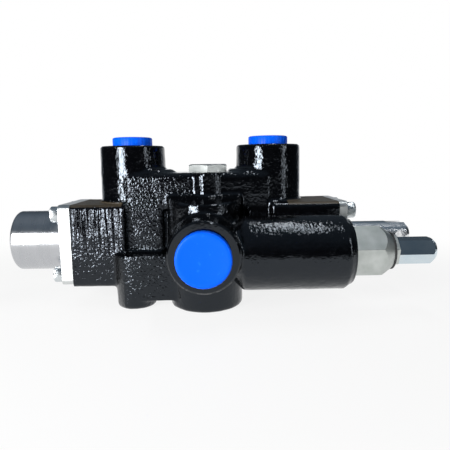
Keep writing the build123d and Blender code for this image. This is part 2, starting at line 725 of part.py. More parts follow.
with BuildPart() as check_plug:
    chamfered_hexagon(
        CHECK_AXIS,
        CORE_TOP,
        CORE_TOP + CHECK_HEAD_HEIGHT,
        CHECK_PLUG_AF,
        CHECK_PLUG_TURN,
        CORE_TOP + CHECK_HEAD_HEIGHT - CHECK_HEAD_CHAMFER,
        CHECK_PLUG_AF / 2 - CHECK_HEAD_CHAMFER,
    )
    drum(CHECK_AXIS, CHECK_PLUG_BOTTOM, CORE_TOP, CHECK_THREAD_RADIUS)
    drum(
        CHECK_AXIS, CHECK_PLUG_BOTTOM, CHECK_SPRING_TOP, CHECK_POCKET_RADIUS, mode=Mode.SUBTRACT
    )
finish(check_plug.part, "check_plug")

with BuildPart() as check_plug_seal:
    ring(
        CHECK_AXIS,
        CORE_TOP - CHECK_SEAL_DEPTH / 2,
        CHECK_THREAD_RADIUS + CHECK_SEAL_DEPTH / 2,
        CHECK_SEAL_DEPTH / 2 - FIT,
    )
finish(check_plug_seal.part, "check_plug_seal")

with BuildPart() as check_poppet:
    guide = CHECK_CAVITY_RADIUS - FIT
    turned(
        CHECK_AXIS,
        (CHECK_FLOOR - 1, 0),
        (CHECK_FLOOR - 1, CHECK_SEAT_RADIUS - 1.1),
        (CHECK_FLOOR, CHECK_SEAT_RADIUS - 0.1),
        (CHECK_FLOOR + guide - CHECK_SEAT_RADIUS + 0.1, guide),
        (CHECK_SPRING_FOOT, guide),
        (CHECK_SPRING_FOOT, CHECK_STEM_RADIUS),
        (CHECK_PLUG_BOTTOM, CHECK_STEM_RADIUS),
        (CHECK_PLUG_BOTTOM, 0),
    )
finish(check_poppet.part, "check_poppet")

with BuildPart() as check_spring:
    coil(
        CHECK_AXIS,
        CHECK_SPRING_FOOT,
        CHECK_SPRING_TOP - CHECK_SPRING_FOOT,
        CHECK_SPRING_RADIUS,
        CHECK_WIRE,
        CHECK_TURNS,
    )
finish(check_spring.part, "check_spring")

# ---- Relief valve ----

HEX_END = FLANGE_FACE + RELIEF_HEX_LENGTH
CONE_END = HEX_END + RELIEF_CONE_LENGTH
SPRING_START = RELIEF_SEAT_FACE + RELIEF_SPRING_START
SPRING_END = SPRING_START + RELIEF_SPRING_LENGTH
ADJUSTER_START = SPRING_END + RELIEF_BUTTON_THICKNESS
LOCK_NUT_START = CONE_END + SEAL_WASHER_THICKNESS
CAP_NUT_START = LOCK_NUT_START + LOCK_NUT_LENGTH
CAP_NUT_END = CAP_NUT_START + CAP_NUT_LENGTH

with BuildPart() as relief_plug:
    chamfered_hexagon(
        RELIEF_AXIS,
        FLANGE_FACE,
        CONE_END,
        RELIEF_HEX_AF,
        RELIEF_HEX_TURN,
        HEX_END,
        RELIEF_CONE_END,
    )
    drum(RELIEF_AXIS, RELIEF_SEAT_FACE, FLANGE_FACE, RELIEF_THREAD_RADIUS)
    drum(
        RELIEF_AXIS,
        RELIEF_SEAT_FACE,
        ADJUSTER_START + ADJUSTER_OUT * ADJUSTER_PITCH + LOOSE,
        RELIEF_SPRING_BORE,
        mode=Mode.SUBTRACT,
    )
    drum(RELIEF_AXIS, ADJUSTER_START, CONE_END, ADJUSTER_RADIUS + THREAD_GAP, mode=Mode.SUBTRACT)
finish(relief_plug.part, "relief_plug")

with BuildPart() as relief_seat:
    tube(
        RELIEF_AXIS,
        RELIEF_SEAT_START,
        RELIEF_SEAT_FACE,
        RELIEF_SEAT_RADIUS,
        RELIEF_HOLE_RADIUS,
    )
finish(relief_seat.part, "relief_seat")

with BuildPart() as relief_poppet:
    turned(
        RELIEF_AXIS,
        (RELIEF_SEAT_FACE - 0.5, 0),
        (RELIEF_SEAT_FACE - 0.5, RELIEF_HOLE_RADIUS - 0.6),
        (RELIEF_SEAT_FACE + 2, RELIEF_HOLE_RADIUS + 1.9),
        (RELIEF_SEAT_FACE + 2, RELIEF_SPRING_BORE - FIT),
        (SPRING_START, RELIEF_SPRING_BORE - FIT),
        (SPRING_START, RELIEF_SPIGOT),
        (SPRING_START + 4, RELIEF_SPIGOT),
        (SPRING_START + 4, 0),
    )
finish(relief_poppet.part, "relief_poppet")

with BuildPart() as relief_spring:
    coil(
        RELIEF_AXIS,
        SPRING_START,
        RELIEF_SPRING_LENGTH,
        RELIEF_SPRING_RADIUS,
        RELIEF_WIRE,
        RELIEF_TURNS,
    )
finish(relief_spring.part, "relief_spring")

with BuildPart() as relief_spring_button:
    turned(
        RELIEF_AXIS,
        (SPRING_END - 3, 0),
        (SPRING_END - 3, RELIEF_SPIGOT),
        (SPRING_END, RELIEF_SPIGOT),
        (SPRING_END, RELIEF_SPRING_BORE - LOOSE),
        (ADJUSTER_START, RELIEF_SPRING_BORE - LOOSE),
        (ADJUSTER_START, 0),
    )
finish(relief_spring_button.part, "relief_spring_button")

with BuildPart() as relief_adjuster:
    adjuster_end = ADJUSTER_START + ADJUSTER_LENGTH
    turned(
        RELIEF_AXIS,
        (ADJUSTER_START, 0),
        (ADJUSTER_START, ADJUSTER_RADIUS - 0.8),
        (ADJUSTER_START + 0.8, ADJUSTER_RADIUS),
        (adjuster_end - 0.8, ADJUSTER_RADIUS),
        (adjuster_end, ADJUSTER_RADIUS - 0.8),
        (adjuster_end, 0),
    )
    hexagon_bar(RELIEF_AXIS, adjuster_end - 5, adjuster_end, HEX_KEY_AF, mode=Mode.SUBTRACT)
finish(relief_adjuster.part, "relief_adjuster")

with BuildPart() as relief_seal:
    tube(
        RELIEF_AXIS, CONE_END, LOCK_NUT_START, SEAL_WASHER_RADIUS, ADJUSTER_RADIUS + THREAD_GAP
    )
finish(relief_seal.part, "relief_seal")

with BuildPart() as relief_lock_nut:
    hexagon_bar(RELIEF_AXIS, LOCK_NUT_START, CAP_NUT_START, LOCK_NUT_AF, turn=RELIEF_HEX_TURN)
    drum(
        RELIEF_AXIS, LOCK_NUT_START, CAP_NUT_START, ADJUSTER_RADIUS + THREAD_GAP, mode=Mode.SUBTRACT
    )
finish(relief_lock_nut.part, "relief_lock_nut")

with BuildPart() as relief_cap_nut:
    chamfered_hexagon(
        RELIEF_AXIS,
        CAP_NUT_START,
        CAP_NUT_END,
        CAP_NUT_AF,
        RELIEF_HEX_TURN,
        CAP_NUT_END - CAP_NUT_CROWN,
        CAP_NUT_AF / 2 - CAP_NUT_CROWN / 2,
    )
    drum(
        RELIEF_AXIS,
        CAP_NUT_START,
        adjuster_end + ADJUSTER_OUT * ADJUSTER_PITCH + LOOSE,
        CAP_NUT_BORE,
        mode=Mode.SUBTRACT,
    )
finish(relief_cap_nut.part, "relief_cap_nut")

# ---- Transport plugs ----


def transport_plug(plane, face, radius, height, bore, depth):
    """A cup-shaped plastic plug: a fluted head on the port face and a hollow shank in the bore."""
    shank = bore - THREAD_GAP
    with BuildPart() as plug:
        turned(
            plane,
            (face, 0),
            (face, radius),
            (face + height - 0.8, radius),
            (face + height, radius - 0.8),
            (face + height, 0),
        )
        head = Plane(origin=plane.origin + plane.x_dir * face, z_dir=plane.x_dir)
        with BuildSketch(head) as flutes:
            with PolarLocations(radius + PLUG_FLUTE_RADIUS / 3, PLUG_FLUTES):
                Circle(PLUG_FLUTE_RADIUS)
        extrude(flutes.sketch, amount=height, mode=Mode.SUBTRACT)
        drum(plane, face - depth, face, shank)
        drum(plane, face - depth, face, shank - PLUG_WALL, mode=Mode.SUBTRACT)
    return plug.part


for name, x in (("port_plug_a", WORK_A), ("port_plug_b", WORK_B)):
    plug = transport_plug(
        upright(x, 0), WORK_FACE, WORK_PLUG_RADIUS, WORK_PLUG_HEIGHT, WORK_BORE_RADIUS, 10
    )
    finish(plug, name)
for name, plane, face in (
    ("port_plug_p", INLET_AXIS, INLET_FACE),
    ("port_plug_t", OUTLET_AXIS, OUTLET_FACE),
):
    plug = transport_plug(plane, face, PORT_PLUG_RADIUS, PORT_PLUG_HEIGHT, PORT_BORE_RADIUS, 12)
    finish(plug, name)
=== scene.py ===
import json
import math
from collections import namedtuple

import bpy
from bpy.props import FloatProperty, FloatVectorProperty, IntProperty, PointerProperty
from mathutils import Matrix, Vector

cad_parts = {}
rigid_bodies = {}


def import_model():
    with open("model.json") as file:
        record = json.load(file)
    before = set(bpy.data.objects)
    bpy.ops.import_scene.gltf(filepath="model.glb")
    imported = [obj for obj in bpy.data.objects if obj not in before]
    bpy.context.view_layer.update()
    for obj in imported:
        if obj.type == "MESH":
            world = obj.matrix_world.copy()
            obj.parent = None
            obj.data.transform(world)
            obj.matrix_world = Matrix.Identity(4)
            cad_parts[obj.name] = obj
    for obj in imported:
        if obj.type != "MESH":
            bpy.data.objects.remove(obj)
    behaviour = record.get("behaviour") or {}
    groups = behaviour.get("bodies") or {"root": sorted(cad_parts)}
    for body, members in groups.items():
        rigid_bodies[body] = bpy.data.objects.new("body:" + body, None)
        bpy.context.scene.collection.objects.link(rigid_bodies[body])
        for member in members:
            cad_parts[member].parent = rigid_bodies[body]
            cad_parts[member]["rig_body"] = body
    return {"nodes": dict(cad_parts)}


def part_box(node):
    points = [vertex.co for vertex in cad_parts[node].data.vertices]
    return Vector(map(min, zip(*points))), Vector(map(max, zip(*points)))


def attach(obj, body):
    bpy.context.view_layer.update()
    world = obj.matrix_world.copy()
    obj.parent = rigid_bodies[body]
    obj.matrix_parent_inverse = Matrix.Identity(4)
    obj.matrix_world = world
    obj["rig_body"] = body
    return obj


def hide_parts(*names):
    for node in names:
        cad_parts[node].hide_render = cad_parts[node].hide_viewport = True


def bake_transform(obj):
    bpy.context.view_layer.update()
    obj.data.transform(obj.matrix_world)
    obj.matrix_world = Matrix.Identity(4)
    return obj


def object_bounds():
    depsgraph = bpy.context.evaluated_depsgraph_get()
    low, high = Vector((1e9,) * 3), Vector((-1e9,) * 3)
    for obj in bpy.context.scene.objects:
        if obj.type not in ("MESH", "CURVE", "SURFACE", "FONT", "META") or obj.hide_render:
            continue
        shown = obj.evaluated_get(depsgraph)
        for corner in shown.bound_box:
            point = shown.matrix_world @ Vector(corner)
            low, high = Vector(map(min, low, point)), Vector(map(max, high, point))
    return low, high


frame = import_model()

bl_info = {
    "name": "Spool valve looks",
    "version": (1, 0, 0),
    "blender": (4, 5, 0),
    "location": "View3D > Sidebar > Valve",
    "description": "Builds the finishes and the small details of a single-spool monoblock valve",
    "category": "Object",
}

nodes = frame["nodes"]
cad_low, cad_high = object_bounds()

# Axes that the details are built on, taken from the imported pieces.
spool_low, spool_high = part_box("spool")
SPOOL_HEIGHT = (spool_low.z + spool_high.z) / 2
SPOOL_RADIUS = (spool_high.z - spool_low.z) / 2
X, Z = Vector((1, 0, 0)), Vector((0, 0, 1))

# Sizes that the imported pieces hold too, in metres.
SCREW_HEAD_RADIUS = 0.00425
SCREW_HOLE_RADIUS, SCREW_HOLE_DEPTH = 0.0025, 0.0125
RELIEF_HOLE_RADIUS, RELIEF_HOLE_DEPTH = 0.01005, 0.016
CHECK_SEAL_RADIUS, CHECK_SEAL_DEPTH = 0.0105, 0.0015
CHECK_CORE, CHECK_PITCH, CHECK_THREAD_DEPTH = 0.0090, 0.0015, 0.012
FOOT_HOLES = ((-0.038, -0.0195), (-0.038, 0.0195), (0.038, 0.0195))
FOOT_CORE, FOOT_PITCH, FOOT_DEPTH = 0.0034, 0.00125, 0.016
OUTLET_FACE = 0.040

# Each port: its plug, the axis it runs along, the way in, and its thread, rim and plug's shank.
Port = namedtuple("Port", "plug axis inward core pitch depth rim shank")
PORTS = (
    Port("port_plug_a", 2, -1, 0.0076, 0.001337, 0.0130, 0.0179, 0.010),
    Port("port_plug_b", 2, -1, 0.0076, 0.001337, 0.0130, 0.0179, 0.010),
    Port("port_plug_p", 1, 1, 0.0094, 0.001814, 0.0160, 0.0172, 0.012),
    Port("port_plug_t", 1, -1, 0.0094, 0.001814, 0.0160, 0.0172, 0.012),
)

# Bevels at the mouths of the holes and round the port faces, and the width of the skin's waves.
PORT_BEVEL, RIM_BEVEL = 0.0012, 0.0009
FOOT_MOUTH, FOOT_BEVEL = 0.0045, 0.0010
WAVE_SIZE = 0.006

# Room round a cut thread, how far a piece stands off its hole, the depth of the adjuster's
# socket, how far a cutter starts outside a face, and what counts as one point.
THREAD_ROOM = 0.00015
SLACK = 0.00005
ADJUSTER_KEY_DEPTH = 0.004
OVERCUT = 0.0005
MERGE = 1e-6


# ---- Materials ----


def new_material(name):
    """A material with only its Principled shader, and that shader."""
    material = bpy.data.materials.new(name)
    material.use_nodes = True
    return material, material.node_tree, material.node_tree.nodes["Principled BSDF"]


def add_node(tree, kind, inputs=None, **settings):
    """Add a node; inputs are socket values, or another node's output to link in."""
    node = tree.nodes.new(kind)
    for key, value in settings.items():
        setattr(node, key, value)
    for key, value in (inputs or {}).items():
        if isinstance(value, bpy.types.NodeSocket):
            tree.links.new(value, node.inputs[key])
        else:
            node.inputs[key].default_value = value
    return node


def place(tree, scale=(1, 1, 1), rotation=(0, 0, 0)):
    """Object coordinates in metres, scaled for a pattern that runs along an axis."""
    coordinate = add_node(tree, "ShaderNodeTexCoord")
    return add_node(
        tree,
        "ShaderNodeMapping",
        {"Vector": coordinate.outputs["Object"], "Scale": scale, "Rotation": rotation},
    ).outputs["Vector"]


def noise(tree, vector, scale, detail=3.0, roughness=0.5, distortion=0.0):
    """Noise whose grains are about 1 / scale metres across."""
    return add_node(
        tree,
        "ShaderNodeTexNoise",
        {
            "Vector": vector,
            "Scale": scale,
            "Detail": detail,
            "Roughness": roughness,
            "Distortion": distortion,
        },
    ).outputs["Fac"]


def remap(tree, value, low, high, to_low, to_high, smooth=False):
    """Spread a value between two limits over another range, held at its ends."""
    return add_node(
        tree,
        "ShaderNodeMapRange",
        {
            "Value": value,
            "From Min": low,
            "From Max": high,
            "To Min": to_low,
            "To Max": to_high,
        },
        interpolation_type="SMOOTHSTEP" if smooth else "LINEAR",
    ).outputs["Result"]


def tint(tree, factor, dark, light):
    """A colour between two, by a factor."""
    mix = add_node(tree, "ShaderNodeMix", {"Factor": factor}, data_type="RGBA")
    # The colour sockets of a Mix node share their names with the float ones.
    for number, colour in ((6, dark), (7, light)):
        if isinstance(colour, bpy.types.NodeSocket):
            tree.links.new(colour, mix.inputs[number])
        else:
            mix.inputs[number].default_value = (*colour, 1)
    return mix.outputs[2]


def math_node(tree, operation, a, b=0.0):
    """One sum on two values or sockets."""
    return add_node(tree, "ShaderNodeMath", {0: a, 1: b}, operation=operation).outputs[0]


def both(tree, first, *others):
    """The product of several values."""
    for other in others:
        first = math_node(tree, "MULTIPLY", first, other)
    return first


def bump(tree, height, depth, below=None):
    """A bump of the given depth in metres, on top of another bump."""
    inputs = {"Height": height, "Distance": depth, "Strength": 1.0}
    if below is not None:
        inputs["Normal"] = below
    return add_node(tree, "ShaderNodeBump", inputs).outputs["Normal"]


def dress(material, *names):
    """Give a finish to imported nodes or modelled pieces."""
    for name in names:
        piece = nodes.get(name) or bpy.data.objects[name]
        piece.data.materials.clear()
        piece.data.materials.append(material)


def casting_paint(colours):
    """Gloss black paint over sand-cast iron: pebbled grain, broad waves and dull dust."""
    material, tree, shader = new_material("casting_paint")
    at = place(tree)
    position = add_node(tree, "ShaderNodeSeparateXYZ", {0: at})
    x, y, z = (position.outputs[axis] for axis in "XYZ")
    across, depth = math_node(tree, "ABSOLUTE", x), math_node(tree, "ABSOLUTE", y)
    fine = noise(tree, at, 700, detail=2, roughness=0.5)
    sand = noise(tree, place(tree, scale=(1, 1, 0.75)), 1050, detail=1.3, roughness=0.5)
    # The core's sand was coarser than that of the bosses, and coarsest at the cap's end.
    on_core = both(
        tree,
        remap(tree, depth, 0.0175, 0.0185, 0, 1),
        remap(tree, depth, 0.0230, 0.0240, 1, 0),
        remap(tree, z, 0.0700, 0.0720, 1, 0.3),
        remap(tree, x, -0.004, 0.010, 1, 0.12),
        remap(tree, x, -0.046, -0.043, 0.7, 1),
    )
    on_foot = both(
        tree,
        remap(tree, z, 0.029, 0.031, 1, 0),
        remap(tree, x, -0.021, -0.019, 1, 0.35),
    )
    on_slim_column = both(
        tree,
        remap(tree, across, 0.0070, 0.0076, 1, 0),
        remap(tree, z, 0.054, 0.056, 0, 1),
    )
    sandy = both(
        tree,
        math_node(tree, "MAXIMUM", on_core, on_foot),
        remap(tree, on_slim_column, 0, 1, 1, 0),
    )
    # Vertical runs of the paint on the upper part of the flange at the cap's end.
    runs = noise(tree, place(tree, scale=(1, 0.3, 0.06)), 560, detail=1.5, distortion=0.3)
    parting = 0.026
    below_flange_top = remap(tree, z, 0.0555, 0.0565, 1, 0)
    on_flange = both(
        tree,
        remap(tree, x, -0.046, -0.042, 1, 0),
        remap(tree, z, parting, 0.038, 0.05, 1),
        remap(tree, depth, 0.0205, 0.0213, 0, 1),
        below_flange_top,
    )
    # Machined faces took the paint smoothly.
    cast = both(
        tree,
        remap(tree, y, -0.0577, -0.0573, 0.12, 1),
        remap(tree, z, 0.0855, 0.0858, 1, 0.12),
        remap(tree, across, 0.0712, 0.0714, 1, 0.12),
    )
    waves = noise(tree, at, 170, detail=2)
    dust = noise(tree, at, 420, detail=4, roughness=0.7)
    skin = None
    for height, where, bump_depth in (
        (waves, cast, 0.00012),
        (fine, cast, 0.00020),
        (sand, sandy, 0.00032),
        (runs, on_flange, 0.0012),
    ):
        skin = bump(tree, both(tree, height, where), bump_depth, skin)
    # The flange leans back a little above and below the mould's parting line.
    from_parting = math_node(tree, "ABSOLUTE", math_node(tree, "SUBTRACT", z, parting))
    lean = both(tree, from_parting, remap(tree, x, -0.046, -0.043, -1, 0), below_flange_top)
    skin = bump(tree, lean, 0.05, skin)
    # Brown dust has settled on the tops of the flanges.
    settled = both(
        tree,
        remap(tree, z, 0.0538, 0.0544, 0, 1),
        remap(tree, z, 0.0556, 0.0562, 1, 0),
        remap(tree, across, 0.0440, 0.0445, 0, 1),
    )
    clean = tint(tree, remap(tree, dust, 0.5, 0.8, 0, 0.5), colours.paint, colours.paint_dust)
    tree.links.new(tint(tree, settled, clean, (0.060, 0.045, 0.026)), shader.inputs["Base Color"])
    shine = remap(tree, dust, 0.3, 0.75, 0.045, 0.09)
    tree.links.new(
        math_node(tree, "MAXIMUM", shine, remap(tree, settled, 0, 1, 0, 0.55)),
        shader.inputs["Roughness"],
    )
    # The blue specular tint is painted light: a painted blue cast on the paint's reflections that
    # stands in for the bluish light of the room.
    shader.inputs["Specular Tint"].default_value = (0.78, 0.88, 1.0, 1)
    tree.links.new(skin, shader.inputs["Normal"])
    return material


def ground_round(tree, shader, amount):
    """Stretch the highlights along the X axis, as tool lines round it do."""
    shader.inputs["Anisotropic"].default_value = amount
    shader.inputs["Anisotropic Rotation"].default_value = 0.25
    round_about = add_node(tree, "ShaderNodeTangent", direction_type="RADIAL", axis="X")
    tree.links.new(round_about.outputs[0], shader.inputs["Tangent"])


def turned_aluminium(colours):
    """Drawn and turned aluminium: fine lines round the spool axis and a satin haze."""
    material, tree, shader = new_material("turned_aluminium")
    lines = noise(tree, place(tree, scale=(1, 0.02, 0.02)), 5200, detail=2)
    haze = noise(tree, place(tree, scale=(1, 0.15, 0.15)), 160, detail=4)
    tree.links.new(
        tint(tree, remap(tree, haze, 0.3, 0.7, 0, 1), colours.aluminium, (0.56, 0.57, 0.59)),
        shader.inputs["Base Color"],
    )
    shader.inputs["Metallic"].default_value = 1
    tree.links.new(remap(tree, haze, 0.3, 0.7, 0.26, 0.30), shader.inputs["Roughness"])
    ground_round(tree, shader, 0.8)
    tree.links.new(bump(tree, lines, 0.000012), shader.inputs["Normal"])
    return material


def zinc_plate(colours, name, tone, rough, streak=(1, 1, 1), depth=0.000006):
    """Zinc plating, milky and slightly cloudy, with fine tool lines along one direction."""
    material, tree, shader = new_material(name)
    cloud = noise(tree, place(tree), 170, detail=4, roughness=0.5)
    lines = noise(tree, place(tree, scale=streak), 3400, detail=3)
    tree.links.new(
        tint(tree, remap(tree, cloud, 0.3, 0.7, 0, 0.4), tone, colours.zinc),
        shader.inputs["Base Color"],
    )
    shader.inputs["Metallic"].default_value = 1
    tree.links.new(remap(tree, cloud, 0.3, 0.7, rough, rough + 0.05), shader.inputs["Roughness"])
    tree.links.new(bump(tree, lines, depth), shader.inputs["Normal"])
    return material


def hard_chrome(colours):
    """Ground hard chrome on the spool, with faint grinding marks round it."""
    material, tree, shader = new_material("hard_chrome")
    lines = noise(tree, place(tree, scale=(1, 0.05, 0.05)), 6000, detail=2)
    smear = noise(tree, place(tree), 130, detail=4)
    shader.inputs["Base Color"].default_value = (*colours.chrome, 1)
    shader.inputs["Metallic"].default_value = 1
    tree.links.new(remap(tree, smear, 0.4, 0.7, 0.17, 0.22), shader.inputs["Roughness"])
    ground_round(tree, shader, 0.85)
    tree.links.new(bump(tree, lines, 0.000003), shader.inputs["Normal"])
    return material


def plug_plastic(colours):
    """Blue polyethylene of the transport plugs, waxy and faintly scuffed."""
    material, tree, shader = new_material("plug_plastic")
    scuff = noise(tree, place(tree, rotation=(0.4, 0.9, 0.3), scale=(1, 0.2, 1)), 420, detail=5)
    skin = noise(tree, place(tree), 900, detail=3)
    tree.links.new(
        tint(tree, remap(tree, scuff, 0.62, 0.74, 0, 0.3), colours.plastic, (0.03, 0.25, 1.0)),
        shader.inputs["Base Color"],
    )
    tree.links.new(remap(tree, scuff, 0.4, 0.7, 0.42, 0.3), shader.inputs["Roughness"])
    shader.inputs["Specular IOR Level"].default_value = 0.12
    tree.links.new(bump(tree, skin, 0.00002), shader.inputs["Normal"])
    return material


def seal_rubber(colours):
    """Black nitrile rubber with a dry, slightly mottled skin."""
    material, tree, shader = new_material("seal_rubber")
    skin = noise(tree, place(tree), 1400, detail=4)
    tree.links.new(
        tint(tree, skin, colours.rubber, (0.03, 0.03, 0.032)), shader.inputs["Base Color"]
    )
    tree.links.new(remap(tree, skin, 0.3, 0.7, 0.5, 0.7), shader.inputs["Roughness"])
    tree.links.new(bump(tree, skin, 0.00002), shader.inputs["Normal"])
    return material


def spring_steel(colours):
    """Oiled spring wire, brown-grey with drawing lines."""
    material, tree, shader = new_material("spring_steel")
    tone = noise(tree, place(tree), 700, detail=4)
    tree.links.new(
        tint(tree, tone, colours.spring, (0.36, 0.34, 0.31)), shader.inputs["Base Color"]
    )
    shader.inputs["Metallic"].default_value = 1
    tree.links.new(remap(tree, tone, 0.3, 0.7, 0.28, 0.42), shader.inputs["Roughness"])
    tree.links.new(bump(tree, tone, 0.00001), shader.inputs["Normal"])
    return material


# ---- Modelling ----


def start_from(node, name):
    """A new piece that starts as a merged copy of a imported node, and stands for it."""
    piece = add(name, nodes[node].data.copy())
    bpy.ops.object.mode_set(mode="EDIT")
    bpy.ops.mesh.select_all(action="SELECT")
    bpy.ops.mesh.remove_doubles(threshold=1e-5)
    bpy.ops.object.mode_set(mode="OBJECT")
    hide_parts(node)
    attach(piece, nodes[node]["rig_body"])
    return piece


def take(piece):
    """Make one object the only selected and the active one."""
    bpy.ops.object.select_all(action="DESELECT")
    piece.select_set(True)
    bpy.context.view_layer.objects.active = piece


def add(name, data):
    """A new object in the scene, selected and active."""
    piece = bpy.data.objects.new(name, data)
    bpy.context.scene.collection.objects.link(piece)
    take(piece)
    return piece


def close(piece):
    """Merge a piece's seams and turn its faces outwards."""
    take(piece)
    bpy.ops.object.mode_set(mode="EDIT")
    bpy.ops.mesh.select_all(action="SELECT")
    bpy.ops.mesh.remove_doubles(threshold=MERGE)
    bpy.ops.mesh.fill_holes(sides=0)
    bpy.ops.mesh.normals_make_consistent(inside=False)
    bpy.ops.object.mode_set(mode="OBJECT")
    return piece


def shade(degrees):
    """Shade the active object smooth, but for edges sharper than an angle."""
    bpy.ops.object.shade_smooth_by_angle(angle=math.radians(degrees))


def modify(piece, kind, **settings):
    """Add a modifier to a piece and apply it."""
    take(piece)
    modifier = piece.modifiers.new(kind.lower(), kind)
    for key, value in settings.items():
        setattr(modifier, key, value)
    bpy.ops.object.modifier_apply(modifier=modifier.name)


def select_where(piece, test):
    """In edit mode, select the vertices whose places pass a test."""
    take(piece)
    bpy.ops.object.mode_set(mode="EDIT")
    bpy.ops.mesh.select_mode(type="VERT")
    bpy.ops.mesh.select_all(action="DESELECT")
    bpy.ops.object.mode_set(mode="OBJECT")
    for vertex in piece.data.vertices:
        vertex.select = test(vertex.co)
    bpy.ops.object.mode_set(mode="EDIT")


def join(piece, operation, other):
    """Use another closed solid up on a piece, by a boolean operation."""
    before = len(piece.data.vertices)
    modify(piece, "BOOLEAN", operation=operation, solver="MANIFOLD", object=other)
    if len(piece.data.vertices) == before:
        raise RuntimeError(f"{other.name} left {piece.name} as it was")
    bpy.data.objects.remove(other)


def mill(piece, *cutters):
    """Cut solids out of a piece, one after another."""
    for cutter in cutters:
        join(piece, "DIFFERENCE", cutter)


def mill_block(piece, low, high):
    """Cut a block away."""
    low, high = Vector(low), Vector(high)
    bpy.ops.mesh.primitive_cube_add(size=1, location=(low + high) / 2, scale=high - low)
    mill(piece, bpy.context.object)


def settle(piece):
    """Write a piece's place and turn into its mesh."""
    take(piece)
    bpy.ops.object.transform_apply(location=True, rotation=True, scale=True)
    return piece


def lathe(name, profile, sides=64, lead=0.0, turns=1):
    """Turn a profile of (radius, height) points round Z. A lead makes a screw thread of it."""
    mesh = bpy.data.meshes.new(name)
    mesh.from_pydata(
        [(radius, 0, height) for radius, height in profile],
        [(i, i + 1) for i in range(len(profile) - 1)],
        [],
    )
    piece = add(name, mesh)
    modify(
        piece,
        "SCREW",
        steps=sides,
        render_steps=sides,
        screw_offset=lead,
        iterations=turns,
        use_merge_vertices=True,
        merge_threshold=MERGE,
    )
    return close(piece)


def send(piece, start, along):
    """Stand a piece that was made up Z on a point, pointing along a direction."""
    piece.location = start
    piece.rotation_euler = Z.rotation_difference(Vector(along)).to_euler()
    return settle(piece)


def hex_socket(key, floor, top):
    """A cutter for a hex socket with a shallow cone at its bottom."""
    radius, cone = key / math.sqrt(3), 0.0006
    profile = [(0, floor - cone), (radius, floor), (radius, top + OVERCUT), (0, top + OVERCUT)]
    return lathe("socket", profile, sides=6)


def bored(start, along, depth, radius, sides=96):
    """A cutter for a plain round hole. It starts a little outside the face."""
    profile = [(0, -OVERCUT), (radius, -OVERCUT), (radius, depth), (0, depth)]
    return send(lathe("cutter", profile, sides), start, along)


def countersunk(start, along, radius, depth):
    """A cutter for the bevel round the mouth of a hole."""
    wide = radius + OVERCUT
    profile = [(0, -OVERCUT), (wide, -OVERCUT), (radius - depth, depth), (0, depth)]
    return send(lathe("cutter", profile, 96), start, along)


def rim_cutter(start, along, radius, bevel):
    """A cutter that bevels the outer rim of a port face."""
    outside = radius + 0.004
    profile = [
        (radius - bevel - OVERCUT, -OVERCUT),
        (outside, -OVERCUT),
        (outside, bevel),
        (radius, bevel),
        (radius - bevel - OVERCUT, -OVERCUT),
    ]
    return send(lathe("cutter", profile, 96), start, along)


def threaded(name, core, crest, pitch, length, sides=40):
    """A threaded rod up Z, with flat ends."""
    turns = math.ceil(length / pitch) + 1
    profile = [
        (core, -pitch),
        (core, -0.9 * pitch),
        (crest, -0.55 * pitch),
        (crest, -0.45 * pitch),
        (core, -0.1 * pitch),
        (core, 0),
    ]
    rod = lathe(name, profile, sides, lead=pitch, turns=turns)
    outside = crest + 0.001
    sleeve = lathe("sleeve", [(0, 0), (outside, 0), (outside, length), (0, length)])
    join(rod, "INTERSECT", sleeve)
    return rod


def tapped(start, along, depth, radius, pitch):
    """A cutter for a hole with a thread."""
    rod = threaded("cutter", radius, radius + 0.55 * pitch, pitch, depth + OVERCUT, sides=30)
    return send(rod, start - OVERCUT * Vector(along), along)


def countersink_outside(end, radius, side=1, bevel=0.0008):
    """A cutter that bevels the end of a rod. side is where the rod's end points along Z."""
    margin = 0.002
    profile = [
        (radius - bevel - OVERCUT, end + side * OVERCUT),
        (radius + margin, end + side * OVERCUT),
        (radius + margin, end - side * (bevel + margin)),
        (radius - bevel - OVERCUT, end + side * OVERCUT),
    ]
    return lathe("cutter", profile, 64)


def soften(piece, width):
    """Bevel a piece's sharp edges and shade what is left smooth."""
    take(piece)
    bpy.ops.object.mode_set(mode="EDIT")
    bpy.ops.mesh.select_all(action="SELECT")
    bpy.ops.mesh.dissolve_limited(angle_limit=math.radians(0.5))
    bpy.ops.object.mode_set(mode="OBJECT")
    modify(
        piece,
        "BEVEL",
        width=width,
        segments=2,
        limit_method="ANGLE",
        angle_limit=math.radians(32),
    )
    shade(60)
    modify(piece, "WEIGHTED_NORMAL", mode="FACE_AREA", keep_sharp=True)


def stand_for(piece, finish, node):
    """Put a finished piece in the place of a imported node."""
    piece.data.materials.clear()
    piece.data.materials.append(finish)
    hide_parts(node)
    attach(piece, nodes[node]["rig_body"])


def middle_of(node):
    """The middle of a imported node's box."""
    low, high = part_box(node)
    return (low + high) / 2


def screw_places(node):
    """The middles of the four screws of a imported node."""
    low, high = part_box(node)
    inset = SCREW_HEAD_RADIUS
    return [
        Vector((0, y, z))
        for y in (low.y + inset, high.y - inset)
        for z in (low.z + inset, high.z - inset)
    ]


# ---- Settings ----


def length_setting(name, description, default):
    return FloatProperty(name=name, description=description, default=default, unit="LENGTH")


def angle_setting(name, description, degrees):
    default = math.radians(degrees)
    return FloatProperty(name=name, description=description, default=default, subtype="ANGLE")


def count_setting(name, description, default):
    return IntProperty(name=name, description=description, default=default, subtype="UNSIGNED")


def colour_setting(name, description, default):
    return FloatVectorProperty(
        name=name, description=description, default=default, subtype="COLOR"
    )


